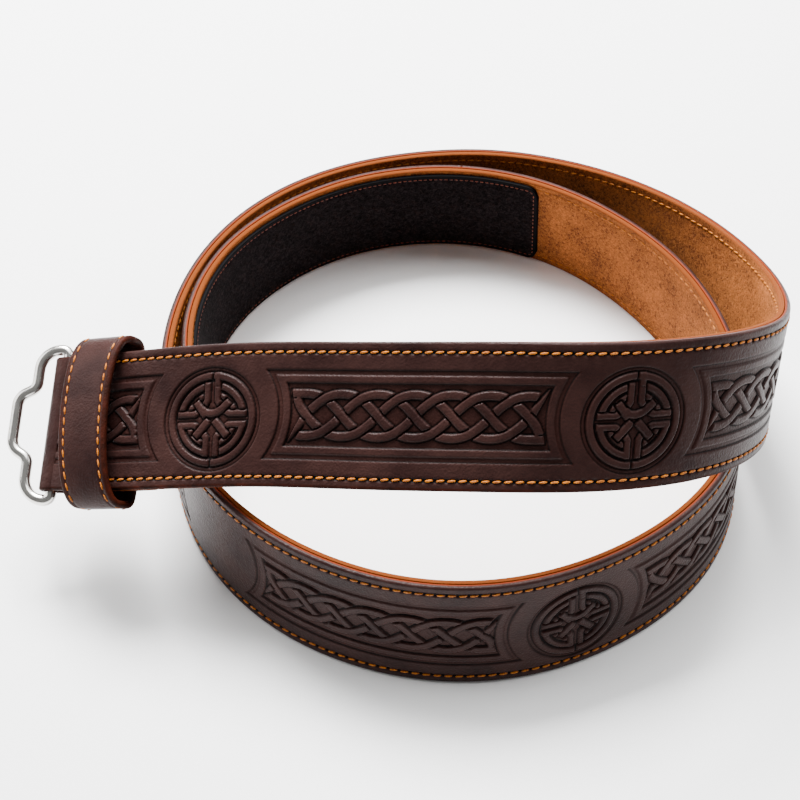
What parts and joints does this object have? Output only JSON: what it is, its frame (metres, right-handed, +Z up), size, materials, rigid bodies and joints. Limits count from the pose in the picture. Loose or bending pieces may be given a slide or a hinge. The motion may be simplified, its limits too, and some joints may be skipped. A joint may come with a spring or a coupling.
{
  "type": "kilt belt",
  "caption": "Wide leather kilt belt, coiled on edge, with embossed knotwork face, suede lining, keeper loop, stepped metal end ring and hook-and-loop patch.",
  "frame": {"origin": "middle of the coiled belt's outline on the floor", "axes": "+Z up, +X from the ring end towards the curl, +Y away from the embossed front run"},
  "size_m": [0.333, 0.2822, 0.1277],
  "materials": {
    "grained_leather": "dark brown, fine grain, low sheen",
    "suede_lining": "tan suede, matt",
    "hook_and_loop": "black loop pile, matt",
    "ring_steel": "polished"
  },
  "bodies": {
    "belt": {"strap_leather": "grained_leather", "strap_lining": "suede_lining", "hook_loop_patch": "hook_and_loop", "keeper_loop": "grained_leather"},
    "ring": {"end_ring": "ring_steel"}
  },
  "joints": [
    {"name": "ring_swing", "type": "hinge", "parent": "belt", "child": "ring", "pos_m": [-0.14425, -0.0508, 0.05682], "axis": [0.0802, 0.8694, 0.4876], "range_deg": [-85, 85]}
  ]
}
